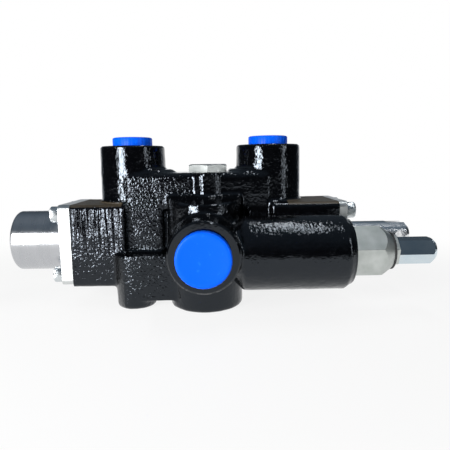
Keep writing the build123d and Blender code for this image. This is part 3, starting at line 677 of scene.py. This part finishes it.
class ValveColours(bpy.types.PropertyGroup):
    """Colours of the finishes."""

    paint: colour_setting("Paint", "Gloss paint on the casting", (0.0010, 0.0010, 0.0013))
    paint_dust: colour_setting(
        "Paint dust", "Dull film in the grain of the paint", (0.0045, 0.0045, 0.0055)
    )
    aluminium: colour_setting(
        "Aluminium", "Turned aluminium of the spring cap", (0.50, 0.51, 0.53)
    )
    zinc: colour_setting("Zinc", "Zinc plating", (0.78, 0.80, 0.79))
    chrome: colour_setting("Chrome", "Hard chrome of the spool", (0.80, 0.81, 0.82))
    plastic: colour_setting("Plastic", "Plastic of the transport plugs", (0.0, 0.100, 0.80))
    rubber: colour_setting("Rubber", "Nitrile rubber of the seals", (0.012, 0.012, 0.013))
    spring: colour_setting("Spring steel", "Wire of the springs", (0.24, 0.23, 0.22))


class StageSettings(bpy.types.PropertyGroup):
    """Floor, lamps and camera."""

    floor_reach: length_setting("Floor reach", "Half the side of the floor", 0.42)
    ambient: FloatProperty(
        name="Ambient", description="Strength of the even light", default=0.14, subtype="FACTOR"
    )
    lens: FloatProperty(
        name="Lens", description="Focal length in millimetres", default=34.64, unit="CAMERA"
    )
    camera_place: FloatVectorProperty(
        name="Camera place",
        description="Where the camera stands",
        subtype="XYZ",
        default=(0.00635, -0.24982, 0.07603),
    )
    camera_down: angle_setting("Looks down", "Camera's angle below level", 8.12)
    camera_right: angle_setting("Looks right", "Camera's angle to the right", 1.03)
    camera_roll: angle_setting("Roll", "Camera's turn about its own axis", 0.77)


class CastingSettings(bpy.types.PropertyGroup):
    """Skin of the casting."""

    voxel: length_setting("Voxel", "Mesh size of the cast skin", 0.00103)
    rounding: count_setting("Rounding", "Smoothing passes over the cast edges", 3)
    allowance: length_setting("Allowance", "Metal that is milled off the faces", 0.003)
    unevenness: length_setting("Unevenness", "Height of the waves in the cast skin", 0.0003)
    running_room: length_setting("Running room", "Extra radius of the bores", 0.0003)


# ---- Operators ----


class VALVE_OT_casting(bpy.types.Operator):
    """Round the casting's edges, roughen its skin and mill its faces and bores"""

    bl_idname = "valve.casting"
    bl_label = "Casting"

    def execute(self, context):
        settings = context.scene.valve_casting
        low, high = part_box("valve_body")
        room = settings.running_room
        grow = settings.allowance
        casting = start_from("valve_body", "casting")

        faces = (
            (0, high.x, 1),
            (0, low.x, -1),
            (1, high.y, 1),
            (1, low.y, -1),
            (2, high.z, 1),
            (2, low.z, -1),
        )

        # Metal is added past the machined faces, so that they come out flat and sharp.
        near = 0.0001
        for axis, face, side in faces[:-1]:
            select_where(casting, lambda co: side * (co[axis] - face) > -near)
            shift = [0, 0, 0]
            shift[axis] = side * grow
            bpy.ops.transform.translate(value=shift)
            bpy.ops.object.mode_set(mode="OBJECT")

        modify(casting, "REMESH", mode="VOXEL", voxel_size=settings.voxel)
        modify(casting, "SMOOTH", factor=0.5, iterations=settings.rounding)
        waves = bpy.data.textures.new("casting_waves", "CLOUDS")
        waves.noise_scale = WAVE_SIZE
        waves.noise_depth = 1
        modify(
            casting,
            "DISPLACE",
            texture=waves,
            texture_coords="LOCAL",
            strength=settings.unevenness,
            mid_level=0.5,
        )

        reach = 0.3
        for axis, face, side in faces:
            block_low, block_high = [-reach] * 3, [reach] * 3
            if side > 0:
                block_low[axis] = face
            else:
                block_high[axis] = face
            mill_block(casting, block_low, block_high)

        spool_start, spool_length = low.x - grow, high.x - low.x + 2 * grow
        holes = [bored((spool_start, 0, SPOOL_HEIGHT), X, spool_length, SPOOL_RADIUS + room)]
        for port in PORTS:
            mouth = middle_of(port.plug)
            mouth[port.axis] = low[port.axis] if port.inward > 0 else high[port.axis]
            if port.plug == "port_plug_t":
                mouth[port.axis] = OUTLET_FACE
            along = Vector((0, 0, 0))
            along[port.axis] = port.inward
            holes.append(tapped(mouth, along, port.depth, port.core + THREAD_ROOM, port.pitch))
            holes.append(countersunk(mouth, along, port.core + PORT_BEVEL, PORT_BEVEL))
            holes.append(rim_cutter(mouth, along, port.rim, RIM_BEVEL))
        relief = middle_of("relief_plug")
        relief.x = high.x
        holes.append(bored(relief, -X, RELIEF_HOLE_DEPTH, RELIEF_HOLE_RADIUS + THREAD_ROOM))
        check = middle_of("check_plug")
        check.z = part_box("check_plug_seal")[1].z
        holes.append(bored(check, -Z, CHECK_SEAL_DEPTH, CHECK_SEAL_RADIUS + THREAD_ROOM))
        holes.append(tapped(check, -Z, CHECK_THREAD_DEPTH, CHECK_CORE + THREAD_ROOM, CHECK_PITCH))
        screw_hole = SCREW_HOLE_RADIUS + THREAD_ROOM
        for node, face, inward in (
            ("cap_plate_screws", low.x, X),
            ("end_plate_screws", high.x, -X),
        ):
            for place_at in screw_places(node):
                place_at.x = face
                holes.append(bored(place_at, inward, SCREW_HOLE_DEPTH, screw_hole, sides=32))
        for x, y in FOOT_HOLES:
            foot = Vector((x, y, low.z))
            holes.append(tapped(foot, Z, FOOT_DEPTH, FOOT_CORE, FOOT_PITCH))
            holes.append(countersunk(foot, Z, FOOT_MOUTH, FOOT_BEVEL))
        mill(casting, *holes)
        modify(casting, "TRIANGULATE", min_vertices=5)
        shade(40)
        return {"FINISHED"}


class PlugSettings(bpy.types.PropertyGroup):
    """The blue transport plugs."""

    flute_depth: length_setting("Flute depth", "Depth of the grip flutes round the head", 0.00012)
    dish: length_setting("Dish", "How deep the middle of the head lies below its rim", 0.00015)
    wall: length_setting("Wall", "Thickness of the hollow shank", 0.0016)
    ridge: length_setting("Ridge", "Height of the gripping ridges on the shank", 0.0003)


class VALVE_OT_plugs(bpy.types.Operator):
    """Build the four cup-shaped transport plugs"""

    bl_idname = "valve.plugs"
    bl_label = "Plugs"

    def execute(self, context):
        sizes = context.scene.valve_plug
        finish = plug_plastic(context.scene.valve_colours)
        for port in PORTS:
            node, axis, side, shank = port.plug, port.axis, -port.inward, port.shank
            low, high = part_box(node)
            out = Vector((0, 0, 0))
            out[axis] = side
            rim = (high.x - low.x) / 2
            height = high[axis] - low[axis] - shank
            face = (low + high) / 2
            face[axis] = high[axis] - height if side > 0 else low[axis] + height
            snug = port.core - SLACK
            ridges = [
                point
                for at in (-0.0022, -0.0045, -0.0068)
                for point in (
                    (snug - sizes.ridge, at + 0.0008),
                    (snug, at + 0.0002),
                    (snug, at),
                    (snug - sizes.ridge, at - 0.0010),
                )
            ]
            profile = [
                (0, height - sizes.dish),
                (rim - 0.0026, height - sizes.dish),
                (rim - 0.0020, height),
                (rim - 0.0008, height),
                (rim - 0.0003, height - 0.0002),
                (rim, height - 0.0007),
                (rim, 0.0002),
                (rim - 0.0002, 0),
                (snug, 0),
                *ridges,
                (snug - sizes.ridge, 0.0006 - shank),
                (snug - sizes.ridge - 0.0003, -shank),
                (snug - sizes.wall, -shank),
                (snug - sizes.wall, -0.0003),
                (0, -0.0003),
            ]
            piece = lathe(node + "_cup", profile, sides=180)
            flute_step = 12
            for vertex in piece.data.vertices:
                radius = vertex.co.xy.length
                turn = math.degrees(math.atan2(vertex.co.y, vertex.co.x)) % flute_step
                if radius > rim - 0.0009 and min(turn, flute_step - turn) < 1:
                    vertex.co.xy *= 1 - sizes.flute_depth / radius
            send(piece, face, out)
            shade(40)
            stand_for(piece, finish, node)
        return {"FINISHED"}


class ScrewSettings(bpy.types.PropertyGroup):
    """The socket-head screws of the end covers."""

    head_height: length_setting("Head height", "Height of the screw heads", 0.005)
    knurl: length_setting("Knurl", "Depth of the knurl round the heads", 0.00009)
    key: length_setting("Key", "Across flats of the hex socket", 0.004)
    thread_core: length_setting("Thread core", "Radius at the root of the thread", 0.00207)
    thread_crest: length_setting("Thread crest", "Radius at the crest of the thread", 0.00245)
    pitch: length_setting("Pitch", "Pitch of the thread", 0.0008)


class VALVE_OT_screws(bpy.types.Operator):
    """Build one knurled socket-head screw for each cover and copy it to the four corners"""

    bl_idname = "valve.screws"
    bl_label = "Screws"

    def execute(self, context):
        sizes = context.scene.valve_screw
        colours = context.scene.valve_colours
        finish = zinc_plate(colours, "zinc_screws", (0.60, 0.64, 0.66), 0.24)
        wide, tall = SCREW_HEAD_RADIUS, sizes.head_height
        for node, out in (("cap_plate_screws", -X), ("end_plate_screws", X)):
            low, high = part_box(node)
            head = lathe(
                "head",
                [
                    (0, tall),
                    (wide - 0.0007, tall),
                    (wide - 0.0003, tall - 0.0001),
                    (wide, tall - 0.0004),
                    (wide, 0.0006),
                    (wide - 0.0003, 0.0001),
                    (wide - 0.0005, 0),
                    (0, 0),
                ],
                sides=96,
            )
            step = 360 / 96
            for vertex in head.data.vertices:
                around = round(math.degrees(math.atan2(vertex.co.y, vertex.co.x)) / step)
                if vertex.co.xy.length > wide - 0.0001 and around % 2:
                    vertex.co.xy *= 1 - sizes.knurl / wide
            rooted = 0.001
            shank = threaded(
                "shank",
                sizes.thread_core,
                sizes.thread_crest,
                sizes.pitch,
                high.x - low.x - tall + rooted,
                sides=24,
            )
            send(shank, (0, 0, rooted), -Z)
            join(head, "UNION", shank)
            mill(head, hex_socket(sizes.key, tall / 2, tall))
            for number, middle in enumerate(screw_places(node), 1):
                middle.x = high.x - tall if out.x > 0 else low.x + tall
                name = f"{node[:-1]}_{number}"
                screw = add(name, head.data.copy())
                screw_turn = math.radians(37 * number)
                screw.data.transform(Matrix.Rotation(screw_turn, 4, "Z"))
                send(screw, middle, out)
                shade(30)
                stand_for(screw, finish, node)
            bpy.data.objects.remove(head)
        return {"FINISHED"}


class EdgeSettings(bpy.types.PropertyGroup):
    """The broken edges of the machined pieces."""

    turned: length_setting("Turned edge", "Bevel of the cap and the covers", 0.00035)
    hex_edge: length_setting("Hex edge", "Bevel of the hexagons", 0.00025)
    spool_edge: length_setting("Spool edge", "Bevel of the spool's edges", 0.00020)
    nut_turn: angle_setting("Nut turn", "How far round the cap nut came to rest", 21)


def spin(piece, middle, angle):
    """Turn a piece about a middle point on its axis, which runs along X."""
    turn = Matrix.Rotation(angle, 4, "X")
    piece.data.transform(Matrix.Translation(middle) @ turn @ Matrix.Translation(-middle))


class VALVE_OT_fittings(bpy.types.Operator):
    """Break the sharp edges of the covers, the cap, the spool and the fittings"""

    bl_idname = "valve.fittings"
    bl_label = "Fittings"

    def execute(self, context):
        sizes, colours = context.scene.valve_edge, context.scene.valve_colours
        covers = zinc_plate(colours, "zinc_covers", (0.60, 0.62, 0.62), 0.32)
        plug = zinc_plate(colours, "zinc_plug", (0.44, 0.47, 0.45), 0.42, streak=(0.1, 1, 1))
        bright = zinc_plate(colours, "zinc_fittings", (0.58, 0.68, 0.74), 0.10, streak=(0.1, 1, 1))
        dull = zinc_plate(colours, "zinc_check", (0.46, 0.49, 0.48), 0.36)
        for node, width, finish, material_slot in (
            ("spring_cap", sizes.turned, turned_aluminium(colours), "aluminium"),
            ("cap_plate", sizes.turned, covers, "zinc_plated_steel"),
            ("end_plate", sizes.turned, covers, "zinc_plated_steel"),
            ("relief_plug", sizes.hex_edge, plug, "zinc_plated_steel"),
            ("relief_lock_nut", sizes.hex_edge, plug, "zinc_plated_steel"),
            ("relief_cap_nut", sizes.hex_edge, bright, "zinc_plated_steel"),
            ("check_plug", sizes.hex_edge, dull, "zinc_plated_steel"),
            ("spool", sizes.spool_edge, hard_chrome(colours), "chromed_spool"),
        ):
            piece = start_from(node, node + "_finished")
            if node == "relief_cap_nut":
                spin(piece, middle_of(node), sizes.nut_turn)
            soften(piece, width)
            stand_for(piece, finish, node)
        return {"FINISHED"}


class AdjusterSettings(bpy.types.PropertyGroup):
    """The relief valve's threaded adjuster."""

    pitch: length_setting("Pitch", "Pitch of the adjuster's thread", 0.00125)
    core: length_setting("Core", "Radius at the root of the thread", 0.0033)
    key: length_setting("Key", "Across flats of the hex socket in its end", 0.004)


class VALVE_OT_adjuster(bpy.types.Operator):
    """Build the threaded adjuster under the cap nut"""

    bl_idname = "valve.adjuster"
    bl_label = "Adjuster"

    def execute(self, context):
        sizes = context.scene.valve_adjuster
        low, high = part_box("relief_adjuster")
        middle = middle_of("relief_adjuster")
        radius, length = (high.z - low.z) / 2 - SLACK, high.x - low.x
        rod = threaded("relief_adjuster_rod", sizes.core, radius, sizes.pitch, length)
        mill(rod, countersink_outside(length, radius), countersink_outside(0, radius, -1))
        mill(rod, hex_socket(sizes.key, length - ADJUSTER_KEY_DEPTH, length))
        send(rod, (low.x, middle.y, middle.z), X)
        shade(30)
        finish = zinc_plate(context.scene.valve_colours, "zinc_adjuster", (0.6, 0.62, 0.6), 0.2)
        stand_for(rod, finish, "relief_adjuster")
        return {"FINISHED"}


class SpringSettings(bpy.types.PropertyGroup):
    """The three springs inside the valve."""

    centring_wire: length_setting("Centring wire", "Wire of the spool's centring spring", 0.0020)
    centring_coils: count_setting("Centring coils", "Coils of the centring spring", 4)
    check_wire: length_setting("Check wire", "Wire of the check valve's spring", 0.0012)
    check_coils: count_setting("Check coils", "Coils of the check spring", 5)
    relief_wire: length_setting("Relief wire", "Wire of the relief valve's spring", 0.0016)
    relief_coils: count_setting("Relief coils", "Coils of the relief spring", 5)


def wind(name, node, along, wire, coils, first=0.0, last=1.0):
    """Wind a round-wire spring in the place of a packed one, with a closed coil at each end.

    first and last bound the share of its coils that the piece holds.
    """
    if coils < 3:
        raise ValueError(f"{name} needs 3 coils or more, as the two at its ends are closed")
    low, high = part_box(node)
    middle, span = (low + high) / 2, high - low
    length = span.dot(along)
    radius = (span.y - wire) / 2
    closed = 1.15 * wire
    spread = (length - wire - 2 * closed) / (coils - 2)
    steps_per_coil = 40
    steps = round((last - first) * coils * steps_per_coil)
    curve = bpy.data.curves.new(name, "CURVE")
    curve.dimensions = "3D"
    spline = curve.splines.new("POLY")
    spline.points.add(steps)
    for i, point in enumerate(spline.points):
        turn = coils * (first + (last - first) * i / steps)
        ends = min(turn, 1) + max(turn - coils + 1, 0)
        height = wire / 2 + closed * ends + spread * (turn - ends)
        angle = 2 * math.pi * turn
        point.co = (radius * math.cos(angle), radius * math.sin(angle), height, 1)
    curve.bevel_depth = wire / 2
    curve.bevel_resolution = 4
    curve.use_fill_caps = True
    piece = add(name, curve)
    bpy.ops.object.convert(target="MESH")
    close(piece)
    shade(40)
    return send(piece, middle - along * length / 2, along)


def stretch(piece, finish, node):
    """Let a spring stand for a packed one, with its finish and its place baked into its mesh."""
    piece.data.materials.clear()
    piece.data.materials.append(finish)
    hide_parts(node)
    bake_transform(piece)


class VALVE_OT_springs(bpy.types.Operator):
    """Wind the centring, check and relief springs in the place of the packed ones"""

    bl_idname = "valve.springs"
    bl_label = "Springs"

    def execute(self, context):
        sizes = context.scene.valve_springs
        finish = spring_steel(context.scene.valve_colours)
        node = "centring_spring"
        low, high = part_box(node)
        wire, coils = sizes.centring_wire, sizes.centring_coils
        piece = wind("centring_spring_wire", node, X, wire, coils)
        stretch(piece, finish, node)
        node = "check_spring"
        low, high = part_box(node)
        piece = wind("check_spring_wire", node, Z, sizes.check_wire, sizes.check_coils)
        stretch(piece, finish, node)
        # The relief spring bears on the poppet and on the button, and is wound as two halves.
        node = "relief_spring"
        low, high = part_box(node)
        high = Vector((high.x, low.y, low.z))
        wire, coils = sizes.relief_wire, sizes.relief_coils
        piece = wind("relief_spring_poppet_half", node, X, wire, coils, last=0.5)
        stretch(piece, finish, node)
        piece = wind("relief_spring_button_half", node, X, wire, coils, first=0.5)
        stretch(piece, finish, node)
        return {"FINISHED"}


class VALVE_OT_finishes(bpy.types.Operator):
    """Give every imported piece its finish"""

    bl_idname = "valve.finishes"
    bl_label = "Finishes"

    def execute(self, context):
        colours = context.scene.valve_colours
        dress(casting_paint(colours), "valve_body", "casting")
        dress(
            zinc_plate(colours, "zinc_inner", (0.60, 0.63, 0.64), 0.16),
            "relief_seat",
            "relief_poppet",
            "relief_spring_button",
            "check_poppet",
            "stem_bolt",
            "stem_spacer",
            "spring_seat_inner",
            "spring_seat_outer",
        )
        dress(
            seal_rubber(colours),
            "spool_seal_left",
            "spool_seal_right",
            "spool_wiper",
            "check_plug_seal",
            "relief_seal",
        )
        return {"FINISHED"}


def glow_mix(tree, dull, bright):
    """Mix two shaders by whether the ray comes from the camera, a reflection or glass."""
    path = add_node(tree, "ShaderNodeLightPath")
    seen = math_node(tree, "MAXIMUM", path.outputs["Is Camera Ray"], path.outputs["Is Glossy Ray"])
    seen = math_node(tree, "MAXIMUM", seen, path.outputs["Is Transmission Ray"])
    return add_node(tree, "ShaderNodeMixShader", {0: seen, 1: dull, 2: bright}).outputs[0]


def softbox(name, place_at, aim, size, radiance):
    """A rectangular lamp that faces a point. size is its width and height."""
    bpy.ops.object.light_add(type="AREA", location=place_at)
    lamp = bpy.context.object
    lamp.name = name
    lamp.data.shape = "RECTANGLE"
    lamp.data.size, lamp.data.size_y = size
    lamp.data.energy = radiance * math.pi * size[0] * size[1]
    lamp.rotation_euler = (Vector(aim) - Vector(place_at)).to_track_quat("-Z", "Y").to_euler()
    lamp.visible_camera = False


class VALVE_OT_stage(bpy.types.Operator):
    """Set up the floor, the lamps, the world and the camera"""

    bl_idname = "valve.stage"
    bl_label = "Stage"

    def execute(self, context):
        settings = context.scene.valve_stage
        bpy.ops.object.select_all(action="DESELECT")

        bpy.ops.mesh.primitive_plane_add(size=2 * settings.floor_reach, location=(0, 0, cad_low.z))
        floor = context.object
        floor.name = "floor"
        material, tree, shader = new_material("pale_floor")
        shader.inputs["Base Color"].default_value = (0.86, 0.86, 0.86, 1)
        shader.inputs["Roughness"].default_value = 0.8
        glow = add_node(tree, "ShaderNodeEmission", {"Color": (1, 1, 1, 1), "Strength": 1})
        away = add_node(tree, "ShaderNodeVectorMath", {0: place(tree)}, operation="LENGTH")
        share = remap(tree, away.outputs["Value"], 0.12, 0.30, 0.85, 1.0, smooth=True)
        sheet = add_node(
            tree, "ShaderNodeMixShader", {0: share, 1: shader.outputs[0], 2: glow.outputs[0]}
        )
        out = tree.nodes["Material Output"]
        tree.links.new(glow_mix(tree, shader.outputs[0], sheet.outputs[0]), out.inputs["Surface"])
        floor.data.materials.append(material)

        # The room: white behind the object and dark towards the camera and above.
        world = bpy.data.worlds.new("studio")
        context.scene.world = world
        world.use_nodes = True
        tree = world.node_tree
        direction = add_node(tree, "ShaderNodeTexCoord").outputs["Generated"]
        towards = add_node(tree, "ShaderNodeSeparateXYZ", {0: direction})
        behind = remap(tree, towards.outputs["Y"], 0.55, 0.92, 0.0, 1.0, smooth=True)
        low_down = remap(tree, towards.outputs["Z"], 0.10, 0.32, 1.0, 0.0, smooth=True)
        backdrop = math_node(tree, "MULTIPLY", behind, low_down)
        room_level = remap(tree, towards.outputs["Z"], 0.2, 0.8, 0.03, 0.20)
        mirrored_level = math_node(tree, "MAXIMUM", backdrop, room_level)
        path = add_node(tree, "ShaderNodeLightPath")
        seen_level = math_node(tree, "MAXIMUM", mirrored_level, path.outputs["Is Camera Ray"])
        white = math_node(tree, "MAXIMUM", backdrop, path.outputs["Is Camera Ray"])
        seen_colour = tint(tree, white, (0.62, 0.80, 1.0), (1, 1, 1))
        seen_inputs = {"Strength": seen_level, "Color": seen_colour}
        seen = add_node(tree, "ShaderNodeBackground", seen_inputs)
        ambient = tree.nodes["Background"]
        ambient.inputs["Color"].default_value = (0.96, 0.98, 1.0, 1)
        ambient.inputs["Strength"].default_value = settings.ambient
        out = tree.nodes["World Output"]
        tree.links.new(glow_mix(tree, ambient.outputs[0], seen.outputs[0]), out.inputs["Surface"])

        aim = (0, -0.02, 0.045)
        softbox("key", (-0.28, -0.39, 0.13), aim, (0.110, 0.25), 36)
        softbox("side", (0.50, -0.36, 0.24), aim, (0.05, 0.45), 9)
        softbox("overhead", (0.15, 0.0, 0.68), aim, (0.44, 0.035), 18)

        camera_data = bpy.data.cameras.new("camera")
        camera = bpy.data.objects.new("camera", camera_data)
        context.scene.collection.objects.link(camera)
        camera_data.sensor_width = 36
        camera_data.lens = settings.lens
        camera_data.clip_start = 0.01
        camera_data.clip_end = 20
        camera.matrix_world = (
            Matrix.Translation(settings.camera_place)
            @ Matrix.Rotation(-settings.camera_right, 4, "Z")
            @ Matrix.Rotation(math.pi / 2 - settings.camera_down, 4, "X")
            @ Matrix.Rotation(-settings.camera_roll, 4, "Z")
        )
        context.scene.camera = camera
        context.scene.view_settings.view_transform = "Standard"
        return {"FINISHED"}


class VALVE_PT_panel(bpy.types.Panel):
    """Buttons and settings of the valve"""

    bl_label = "Spool valve"
    bl_idname = "VALVE_PT_panel"
    bl_space_type = "VIEW_3D"
    bl_region_type = "UI"
    bl_category = "Valve"

    def draw(self, context):
        for operator in OPERATORS:
            self.layout.operator(operator.bl_idname)
        for setting in SETTINGS:
            group = getattr(context.scene, setting)
            for name in group.__annotations__:
                self.layout.prop(group, name)


OPERATORS = (
    VALVE_OT_casting,
    VALVE_OT_finishes,
    VALVE_OT_fittings,
    VALVE_OT_adjuster,
    VALVE_OT_screws,
    VALVE_OT_plugs,
    VALVE_OT_springs,
    VALVE_OT_stage,
)
SETTINGS = {
    "valve_colours": ValveColours,
    "valve_casting": CastingSettings,
    "valve_edge": EdgeSettings,
    "valve_adjuster": AdjusterSettings,
    "valve_screw": ScrewSettings,
    "valve_plug": PlugSettings,
    "valve_springs": SpringSettings,
    "valve_stage": StageSettings,
}
CLASSES = (*SETTINGS.values(), *OPERATORS, VALVE_PT_panel)


def register():
    for item in CLASSES:
        bpy.utils.register_class(item)
    for name, group in SETTINGS.items():
        setattr(bpy.types.Scene, name, PointerProperty(type=group))


def unregister():
    for name in SETTINGS:
        delattr(bpy.types.Scene, name)
    for item in reversed(CLASSES):
        bpy.utils.unregister_class(item)


def main():
    register()
    for operator in OPERATORS:
        group, name = operator.bl_idname.split(".")
        getattr(getattr(bpy.ops, group), name)()


if __name__ == "__main__":
    main()
